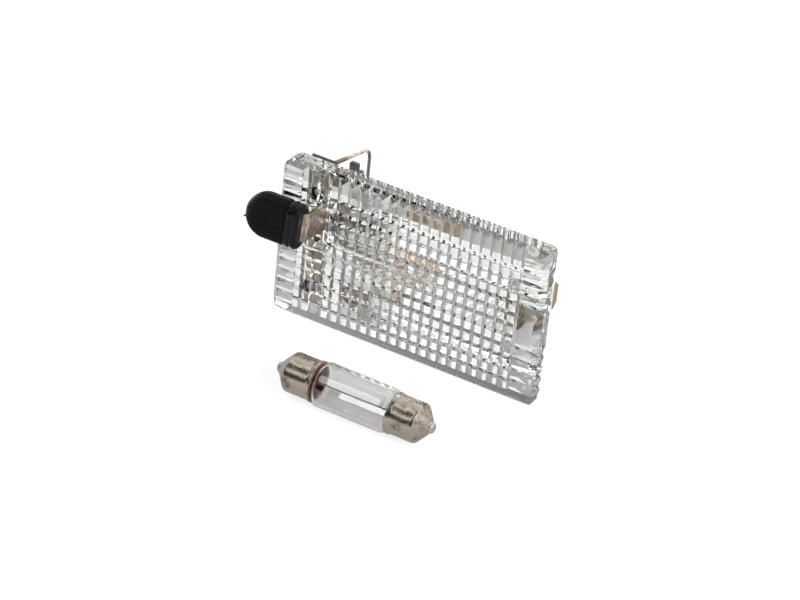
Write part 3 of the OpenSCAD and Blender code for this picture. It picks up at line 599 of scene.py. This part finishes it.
class READING_OT_knob(bpy.types.Operator):
    """Moulds the ribbed knob"""

    bl_idname = "reading.knob"
    bl_label = "Knob"

    def execute(self, context):
        knob = context.scene.reading_light.knob
        turn = Matrix.Rotation(knob.tilt, 4, "X")
        level = [turn.inverted() @ v.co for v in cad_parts["switch_knob"].data.vertices]
        low = Vector(min(p[i] for p in level) for i in range(3))
        high = Vector(max(p[i] for p in level) for i in range(3))
        middle = (low + high) / 2
        nose = Vector((high.x - knob.reach, middle.y, middle.z))
        form = self.mould(knob, (high.y - low.y) / 2, (high.z - low.z) / 2)
        self.add_burr(knob, form)
        mesh = finish_mesh(form, "knob_moulding", turn @ Matrix.Translation(nose))
        show("knob_moulding", mesh, [thermoset_moulded(knob)], LEVER, "switch_knob")
        return {"FINISHED"}

    def mould(self, knob, half_thickness, half_height):
        """A loft from the round nose to the collar, with grooves pressed into every section."""
        nose_steps, straight_steps, section_points = 30, 70, 440
        least_core = 0.05 * MM
        straight = knob.reach - half_height
        stations = [half_height * (1 - math.cos(math.pi / 2 * i / nose_steps)) for i in range(1, nose_steps)]
        stations += [half_height + straight * i / straight_steps for i in range(straight_steps + 1)]
        valleys = (knob.reach - knob.collar, knob.reach - knob.collar / 2)
        edge = min(knob.edge, half_thickness - least_core)
        form = bmesh.new()
        rings = []
        for x in stations:
            nose_in = max(half_height - x, 0)
            end_in = max(knob.collar_edge - (knob.reach - x), 0)
            edge_in = max(edge - x, 0)
            lost = knob.collar_edge - math.sqrt(max(knob.collar_edge**2 - end_in**2, 0))
            tall = math.sqrt(half_height**2 - nose_in**2) - lost
            thick = half_thickness - edge + math.sqrt(edge**2 - edge_in**2) - lost
            valley = sum(math.exp(-(((x - v) / knob.band_width) ** 2)) for v in valleys) * knob.band_depth
            fade = min(x / edge, 1.0)
            ring = []
            for point, normal, run in rounded_section(thick, tall, min(edge, thick, tall), section_points):
                depth = valley + (self.groove(knob, run) * fade if x < valleys[0] else 0)
                place = point - normal * depth
                ring.append(form.verts.new((x, place.x, place.y)))
            rings.append(ring)
        for a, b in zip(rings, rings[1:]):
            for i in range(len(a)):
                j = (i + 1) % len(a)
                form.faces.new((a[i], a[j], b[j], b[i]))
        form.faces.new(rings[0])
        form.faces.new(rings[-1])
        return form

    def groove(self, knob, run):
        """Depth of the grooves at a distance round the section from the middle of a face."""
        nearest = round(run / knob.grip_pitch)
        if abs(nearest) > (knob.grips - 1) / 2:
            return 0
        return math.sqrt(max(knob.grip_radius**2 - (run - nearest * knob.grip_pitch) ** 2, 0))

    def add_burr(self, knob, form):
        """The torn stub that the moulding's sprue left on the nose."""
        root, tip, sides = 0.36 * MM, 0.14 * MM, 12
        sunk, slope = 0.3 * MM, math.radians(-125)
        nose = Matrix.Translation((sunk, 0, -knob.burr_drop)) @ Matrix.Rotation(slope, 4, "Y")
        bmesh.ops.create_cone(
            form, cap_ends=True, segments=sides, radius1=root, radius2=tip, depth=knob.burr_reach,
            matrix=nose @ Matrix.Translation((0, 0, knob.burr_reach / 2)),
        )


class READING_OT_switch(bpy.types.Operator):
    """Folds the lever and its bracket, and turns the pin and washers"""

    bl_idname = "reading.switch"
    bl_label = "Switch"

    def execute(self, context):
        metal = context.scene.reading_light.metal
        # Nickel plate gone dull: soft, warm grey reflections with small brown stains.
        nickel = worn_metal("nickel_plate_dull", metal.steel, metal.steel_stain, patch=1.2 * MM,
                            roughness=(0.24, 0.46), stain_share=0.17, ripple=0.06 * MM)
        # Zinc plate on a fold: pale and almost matt, with bare dark steel at the tongue's top.
        fold = worn_metal("zinc_plate_folded", metal.bracket, metal.bracket_stain, patch=2.0 * MM,
                          roughness=(0.3, 0.5), stain_share=0.1, bare=0.5,
                          top=(metal.tongue_low, metal.tongue))
        # Zinc plate on a turned pin: pale grey with fine dull marks.
        zinc = worn_metal("zinc_plate_turned", metal.zinc, metal.zinc_stain, patch=0.8 * MM,
                          roughness=(0.25, 0.4), stain_share=0.1)
        # Brass, turned: dull yellow with darker tarnish.
        brass = worn_metal("brass_turned", metal.brass, metal.washer_stain, patch=0.8 * MM,
                           roughness=(0.22, 0.4), stain_share=0.12)
        softened("switch_lever", "lever_blade", nickel, LEVER, metal.edge_round)
        softened("lever_bracket", "bracket_fold", fold, ROOT, metal.edge_round)
        softened("pivot_pin", "pivot_pin_turned", zinc, ROOT, metal.head_round)
        softened("pivot_washers", "washers_turned", brass, ROOT, metal.edge_round)
        return {"FINISHED"}


class READING_OT_contacts(bpy.types.Operator):
    """Folds the bronze contacts and the earth spring"""

    bl_idname = "reading.contacts"
    bl_label = "Contacts"

    def execute(self, context):
        metal = context.scene.reading_light.metal
        # Phosphor bronze, rolled: pale tan and softly bright, with wide browner patches of tarnish.
        bronze = worn_metal("phosphor_bronze_rolled", metal.bronze, metal.bronze_stain, patch=6 * MM,
                            roughness=(0.24, 0.36), stain_share=0.1, bare=0.85)
        for node in ("return_contact", "feed_contact", "door_contact"):
            softened(node, node + "_strip", bronze, ROOT, metal.edge_round)
        softened("earth_spring", "earth_spring_strip", spring_rolled(metal), ROOT,
                 metal.edge_round)
        return {"FINISHED"}


class READING_OT_plates(bpy.types.Operator):
    """Punches the insulating plates"""

    bl_idname = "reading.plates"
    bl_label = "Plates"

    def execute(self, context):
        metal = context.scene.reading_light.metal
        sheet = sheet_punched(metal)
        for node in ("switch_plate", "feed_plate"):
            softened(node, node + "_sheet", sheet, ROOT, metal.edge_round)
        return {"FINISHED"}


class READING_OT_rivets(bpy.types.Operator):
    """Heads the rivets"""

    bl_idname = "reading.rivets"
    bl_label = "Rivets"

    def execute(self, context):
        metal = context.scene.reading_light.metal
        # Brass, cold headed: dull yellow, browner where the head was struck.
        brass = worn_metal("brass_headed", metal.brass, metal.rivet_stain, patch=0.8 * MM,
                           roughness=(0.22, 0.42), stain_share=0.14)
        for node in ("bracket_rivets", "door_rivets", "feed_rivets"):
            softened(node, node + "_headed", brass, ROOT, metal.head_round, segments=3)
        return {"FINISHED"}


def bulb_place():
    """The matrix from the bulb's own frame, X along its axis, to where the bulb lies."""
    wire = [v.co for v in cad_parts["bulb_filament"].data.vertices]
    left = min(wire, key=lambda p: p.x)
    right = max(wire, key=lambda p: p.x)
    low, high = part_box("bulb_filament")
    yaw = math.atan2(right.y - left.y, right.x - left.x)
    return Matrix.Translation((low + high) / 2) @ Matrix.Rotation(yaw, 4, "Z")


def eased(points, steps=4):
    """A smooth curve through (radius, along) points, with steps points on each stretch."""
    curve = []
    for i in range(len(points) - 1):
        before, start = points[max(i - 1, 0)], points[i]
        end, after = points[i + 1], points[min(i + 2, len(points) - 1)]
        for k in range(steps):
            t = k / steps
            curve.append(tuple(
                0.5 * (2 * b + (c - a) * t + (2 * a - 5 * b + 4 * c - d) * t**2
                       + (3 * b - a - 3 * c + d) * t**3)
                for a, b, c, d in zip(before, start, end, after)
            ))
    return curve + [points[-1]]


def unevenness(along, around, stretch, width, place):
    """Smooth noise from -1 to 1 round a turned surface. place picks another stretch of the same noise."""
    return noise.noise(Vector((along * stretch, math.cos(around) * width + place, math.sin(around) * width)))


class READING_OT_bulb(bpy.types.Operator):
    """Blows the bulb and draws its caps, cement, leads and filament"""

    bl_idname = "reading.bulb"
    bl_label = "Bulb"

    def execute(self, context):
        bulb = context.scene.reading_light.bulb
        self.place = bulb_place()
        self.blow_glass(bulb)
        # Nickel plate on drawn brass: bright warm grey, with dark stains from the lamp's heat.
        nickel = worn_metal("nickel_plate_drawn", bulb.nickel, bulb.stain, patch=2.6 * MM,
                            roughness=(0.2, 0.32), stain_share=0.1, ripple=0.04 * MM)
        # Tin solder, cast as a drop: pale and soft, with slight waves.
        solder = worn_metal("tin_solder_cast", bulb.solder, bulb.solder_stain, patch=0.6 * MM,
                            roughness=(0.2, 0.35), stain_share=0.1, ripple=0.04 * MM)
        for side, name in ((-1, "left"), (1, "right")):
            self.draw_cap(bulb, side, name, nickel, solder)
        self.cast_cement(bulb)
        self.bend_leads(bulb)
        self.wind_filament(bulb)
        return {"FINISHED"}

    def blow_glass(self, bulb):
        """The tube with its drawn-in ends, an outer and an inner skin. The inner one is a wall further in,
        and its ends are set back, more so where the glass is pinched."""
        wall, set_back, pinched, pinch_start, sides = bulb.glass_wall / MM, 0.25, 0.25, 9.0, 96
        ends = [(4.7, 6.6), (4.68, 7.3), (4.5, 7.85), (4.1, 8.3), (3.74, 8.66), (3.68, 9.4), (3.66, 10.6),
                (3.55, 11.6), (2.9, 12.5), (1.5, 13.15), (0.5, 13.28)]
        inner_tip = (0.3, 11.25)
        inner_ends = [(r - wall, x - set_back - pinched * max(x - pinch_start, 0)) for r, x in ends[:-2]]
        form = bmesh.new()
        for curve, inward in ((eased(ends), False), (eased(inner_ends + [inner_tip]), True)):
            half = [(0.0, curve[-1][1])] + curve[::-1]
            whole = [(r, -x) for r, x in half] + half[::-1]
            skin = revolved([(r * MM, x * MM) for r, x in whole], sides)
            bmesh.ops.recalc_face_normals(skin, faces=skin.faces)
            if inward:
                bmesh.ops.reverse_faces(skin, faces=skin.faces)
            join(form, skin)
        mesh = finish_mesh(form, "bulb_tube", self.place, outward=False)
        show("bulb_tube", mesh, [glass_drawn(bulb)], ROOT, "bulb_glass")

    def draw_cap(self, bulb, side, name, nickel, solder):
        """A cap with its rolled rim, four round crimps, coned end and blob of solder."""
        sides, rows, row_pitch = 160, 30, 0.16
        skirt_radius, skirt_wave, skirt_start = 4.2, 0.004, 9.7
        dented_from, dented_to, dented_radius = 9.6, 14.4, 4.1
        crimp_radius, dent_height = 0.8, 0.05
        solder_start, solder_core, lump_height = 17.0, 0.1, 0.16
        inside = [(0.0, 16.6), (1.25, 16.6), (3.55, 14.62), (3.9, 14.2), (3.9, 9.0)]
        rim = [(4.0, 8.72), (4.22, 8.68), (4.38, 8.75), (4.41, 8.95), (4.34, 9.2), (4.24, 9.45)]
        skirt_rows = [skirt_start + row_pitch * i for i in range(rows)]
        skirt = [(skirt_radius + skirt_wave * math.sin(x), x) for x in skirt_rows]
        cone = [(4.2, 14.5), (4.12, 14.75), (3.9, 15.0), (3.3, 15.52), (2.5, 16.2), (1.75, 16.84)]
        blob = [(1.42, 16.98), (1.22, 17.1), (1.2, 17.3), (1.14, 17.55), (0.95, 17.8), (0.6, 17.95),
                (0.2, 17.99)]
        profile = inside + eased(rim, 3)[:-1] + skirt + eased(cone, 3)[:-1] + eased(blob, 3) + [(0.0, 18.0)]
        # Each crimp's place round the cap and along it.
        crimps = [(0.35, 11.6), (1.95, 12.1), (3.5, 11.5), (5.1, 12.0)]
        # The noise's stretch along the cap and round it, and the part of it that each side takes.
        lumps, dents = (1.7, 1.3, side * 4), (0.55, 1.6, side * 7)

        def pressed(radius, along, around):
            """How far the crimps, dents and lumps move a point of the cap out."""
            x = along / MM * side
            r = radius / MM
            if x > solder_start and r > solder_core:
                return lump_height * unevenness(x, around, *lumps) * MM
            if r < dented_radius or not dented_from < x < dented_to:
                return 0.0
            depth = 0.0
            for turn, middle in crimps:
                off = (around - turn + math.pi) % (2 * math.pi) - math.pi
                away = math.hypot(x - middle, off * r)
                depth += math.exp(-((away / crimp_radius) ** 2))
            dent = dent_height * MM * unevenness(x, around, *dents)
            return -(bulb.dent_depth * min(depth, 1.0)) + dent

        form = revolved([(r * MM, x * side * MM) for r, x in profile], sides, pressed)
        for face in form.faces:
            face.material_index = 1 if abs(face.calc_center_median().x) > solder_start * MM else 0
        mesh = finish_mesh(form, "cap_" + name, self.place)
        show("cap_" + name, mesh, [nickel, solder], ROOT, "bulb_cap_" + name)

    def cast_cement(self, bulb):
        """The cement that coats the glass inside both caps, with a bead that shows at the rim."""
        cup = [(3.72, 8.8), (3.8, 8.62), (3.96, 8.6), (4.02, 8.75), (3.9, 9.1), (3.88, 11.8), (3.2, 12.75),
               (1.7, 13.4), (0.3, 13.52)]
        lining = [(0.3, 13.32), (1.6, 13.2), (3.0, 12.5), (3.62, 11.65), (3.7, 9.6), (3.72, 8.8)]
        sides = 72
        form = bmesh.new()
        for side in (-1, 1):
            section = [(r * MM, x * side * MM) for r, x in eased(cup, 3) + eased(lining, 3)]
            join(form, revolved(section, sides))
        mesh = finish_mesh(form, "cement_cups", self.place)
        show("cement_cups", mesh, [cement_baked(bulb)], ROOT, "bulb_cement")

    def bend_leads(self, bulb):
        """Two nickel leads with hooked ends."""
        path = [(10.9, 0, 0), (9.0, 0, 0.05), (7.4, 0, 0.06), (6.5, 0, 0), (6.15, 0, -0.1), (6.1, 0, -0.28)]
        sides = 12
        leads = bmesh.new()
        for side in (-1, 1):
            tube(leads, [Vector((side * x, y, z)) * MM for x, y, z in path], bulb.lead_radius, sides)
        wire = wire_drawn("nickel_wire_drawn", bulb)
        show("lead_wires", finish_mesh(leads, "lead_wires", self.place), [wire], ROOT,
             "bulb_leads")

    def wind_filament(self, bulb):
        """The coil of tungsten wire that hangs between the leads."""
        reach, sag, steps, sides = 6.0 * MM, 0.25 * MM, 10, 5
        turns = round(2 * reach / bulb.coil_pitch)
        points = []
        for i in range(turns * steps + 1):
            share = i / (turns * steps)
            around = 2 * math.pi * i / steps
            hang = -sag * math.sin(math.pi * share)
            points.append(Vector((
                (2 * share - 1) * reach,
                bulb.coil_radius * math.cos(around),
                bulb.coil_radius * math.sin(around) + hang,
            )))
        coil = bmesh.new()
        tube(coil, points, bulb.wire_radius, sides)
        wire = wire_drawn("tungsten_wire_coiled", bulb)
        show("filament_coil", finish_mesh(coil, "filament_coil", self.place), [wire], ROOT,
             "bulb_filament")


def add_lamp(name, place, width, height, power, shows_through):
    """A soft box aimed at the light. It shows through the clear parts, or else only as a reflection."""
    aim = Vector((0, 0, 15 * MM))
    light = bpy.data.lights.new(name, "AREA")
    light.shape = "RECTANGLE"
    light.size = width
    light.size_y = height
    light.energy = power
    lamp = bpy.data.objects.new(name, light)
    lamp.location = place
    lamp.rotation_euler = (aim - Vector(place)).to_track_quat("-Z", "Y").to_euler()
    lamp.visible_transmission = shows_through
    lamp.visible_glossy = not shows_through
    bpy.context.scene.collection.objects.link(lamp)


class READING_OT_stage(bpy.types.Operator):
    """Sets the pale floor, the studio light and the camera"""

    bl_idname = "reading.stage"
    bl_label = "Stage"

    def execute(self, context):
        stage = context.scene.reading_light.stage
        self.lay_floor(stage)
        self.light_studio(stage)
        self.set_camera(context, stage)
        context.scene.view_settings.view_transform = "Standard"
        return {"FINISHED"}

    def lay_floor(self, stage):
        """A floor that looks white where no shadow falls. Glass and metal see a pool of painted shade on it
        near the light.
        """
        half = stage.floor_size / 2
        corners = [(-half, -half, 0), (half, -half, 0), (half, half, 0), (-half, half, 0)]
        mesh = bpy.data.meshes.new("floor")
        mesh.from_pydata(corners, [], [(0, 1, 2, 3)])
        mesh.materials.append(self.paper_matt(stage))
        floor = bpy.data.objects.new("floor", mesh)
        bpy.context.scene.collection.objects.link(floor)

    def paper_matt(self, stage):
        """Paper, coated matt: it shows no reflections, and glows enough to look white round the shadow."""
        glow_share = 0.82
        made, tree, place = start_material("paper_matt")
        path = add_node(tree, "ShaderNodeLightPath")
        moved = add_node(tree, "ShaderNodeMapping", {
            "Vector": place, "Location": (-stage.pool_x, -stage.pool_y, 0),
        })
        away = add_node(tree, "ShaderNodeVectorMath", {0: moved}, operation="LENGTH").outputs["Value"]
        faded = add_node(tree, "ShaderNodeMapRange", {
            "Value": away, "From Min": stage.pool_near, "From Max": stage.pool_far,
        })
        # Painted shade: near the light, rays off metal and through glass see the floor grey instead of white.
        pool = add_node(tree, "ShaderNodeMix", {
            "Factor": faded, FIRST: stage.pool, SECOND: WHITE,
        }, data_type="RGBA").outputs[MIXED]
        tone = add_node(tree, "ShaderNodeMix", {
            "Factor": path.outputs["Is Camera Ray"], FIRST: pool, SECOND: WHITE,
        }, data_type="RGBA").outputs[MIXED]
        glow = add_node(tree, "ShaderNodeEmission", {"Color": tone, "Strength": 1.0})
        paper = add_node(tree, "ShaderNodeBsdfPrincipled", {"Base Color": stage.floor, "Roughness": 0.9})
        share = add_node(tree, "ShaderNodeMath", {0: self.direct_rays(tree), 1: glow_share},
                         operation="MULTIPLY")
        mixed = add_node(tree, "ShaderNodeMixShader", {0: share, 1: paper, 2: glow})
        add_node(tree, "ShaderNodeOutputMaterial", {"Surface": mixed})
        return made

    def direct_rays(self, tree):
        """1 for rays from the camera, off metal and through glass, 0 for light that matt surfaces scatter."""
        path = add_node(tree, "ShaderNodeLightPath").outputs
        most = add_node(tree, "ShaderNodeMath", {0: path["Is Camera Ray"], 1: path["Is Glossy Ray"]},
                        operation="MAXIMUM")
        return add_node(tree, "ShaderNodeMath", {0: most, 1: path["Is Transmission Ray"]},
                        operation="MAXIMUM")

    def light_studio(self, stage):
        """A white backdrop, a dark room on the camera's side for prisms and metal to show, and the lamps."""
        # How far ahead a ray points where the dark room ends, and where the backdrop is all white.
        room_end, backdrop_start = -0.1, 0.25
        ambient = 0.55
        world = bpy.data.worlds.new("studio")
        bpy.context.scene.world = world
        world.use_nodes = True
        tree = world.node_tree
        tree.nodes.clear()
        direction = add_node(tree, "ShaderNodeTexCoord").outputs["Generated"]
        axes = add_node(tree, "ShaderNodeSeparateXYZ", {"Vector": direction})
        ahead = add_node(tree, "ShaderNodeMapRange", {
            "Value": axes.outputs["Y"], "From Min": room_end, "From Max": backdrop_start,
        })
        room = add_node(tree, "ShaderNodeMix", {
            "Factor": ahead, FIRST: stage.room, SECOND: WHITE,
        }, data_type="RGBA").outputs[MIXED]
        path = add_node(tree, "ShaderNodeLightPath")
        seen = add_node(tree, "ShaderNodeMix", {
            "Factor": path.outputs["Is Camera Ray"], FIRST: room, SECOND: WHITE,
        }, data_type="RGBA").outputs[MIXED]
        strength = add_node(tree, "ShaderNodeMapRange", {
            "Value": self.direct_rays(tree), "To Min": ambient, "To Max": 1.0,
        })
        light = add_node(tree, "ShaderNodeBackground", {"Color": seen, "Strength": strength})
        add_node(tree, "ShaderNodeOutputWorld", {"Surface": light})
        for lamp in LAMPS:
            add_lamp(*lamp)

    def set_camera(self, context, stage):
        """The photograph's camera: its place, its roll and the shift that frames the light."""
        width, height = PICTURE
        full_frame, nearest, farthest = 36, 0.01, 20
        data = bpy.data.cameras.new("camera")
        data.sensor_width = full_frame
        data.lens = stage.focal
        data.shift_x = (width / 2 - stage.aim_column) / width
        data.shift_y = (stage.aim_row - height / 2) / width
        data.clip_start, data.clip_end = nearest, farthest
        away = Vector((
            math.sin(stage.azimuth) * math.cos(stage.elevation),
            -math.cos(stage.azimuth) * math.cos(stage.elevation),
            math.sin(stage.elevation),
        ))
        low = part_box("lens")[0]
        aim = Vector((0, low.y, 0))
        camera = bpy.data.objects.new("camera", data)
        upright = (-away).to_track_quat("-Z", "Y").to_matrix().to_4x4()
        turn = upright @ Matrix.Rotation(stage.roll, 4, "Z")
        camera.matrix_world = Matrix.Translation(aim + away * stage.distance) @ turn
        context.scene.collection.objects.link(camera)
        context.scene.camera = camera


STEPS = (
    READING_OT_lens, READING_OT_knob, READING_OT_switch, READING_OT_contacts, READING_OT_plates,
    READING_OT_rivets, READING_OT_bulb, READING_OT_stage,
)


class READING_PT_panel(bpy.types.Panel):
    """Lists the steps that dress the light, with their settings"""

    bl_idname = "READING_PT_panel"
    bl_label = "Reading Light"
    bl_space_type = "VIEW_3D"
    bl_region_type = "UI"
    bl_category = "Reading Light"

    def draw(self, context):
        for step in STEPS:
            self.layout.operator(step.bl_idname)
        for name in GROUPS:
            box = self.layout.box()
            box.label(text=name.capitalize())
            settings = getattr(context.scene.reading_light, name)
            for prop in settings.bl_rna.properties:
                if prop.identifier not in {"rna_type", "name"}:
                    box.prop(settings, prop.identifier)


CLASSES = (*GROUPS.values(), ReadingLightSettings, *STEPS, READING_PT_panel)


def register():
    for cls in CLASSES:
        bpy.utils.register_class(cls)
    bpy.types.Scene.reading_light = PointerProperty(type=ReadingLightSettings)


def unregister():
    del bpy.types.Scene.reading_light
    for cls in reversed(CLASSES):
        bpy.utils.unregister_class(cls)


def main():
    """Registers the add-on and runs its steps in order."""
    register()
    for step in STEPS:
        group, name = step.bl_idname.split(".")
        getattr(getattr(bpy.ops, group), name)()


if __name__ == "__main__":
    main()
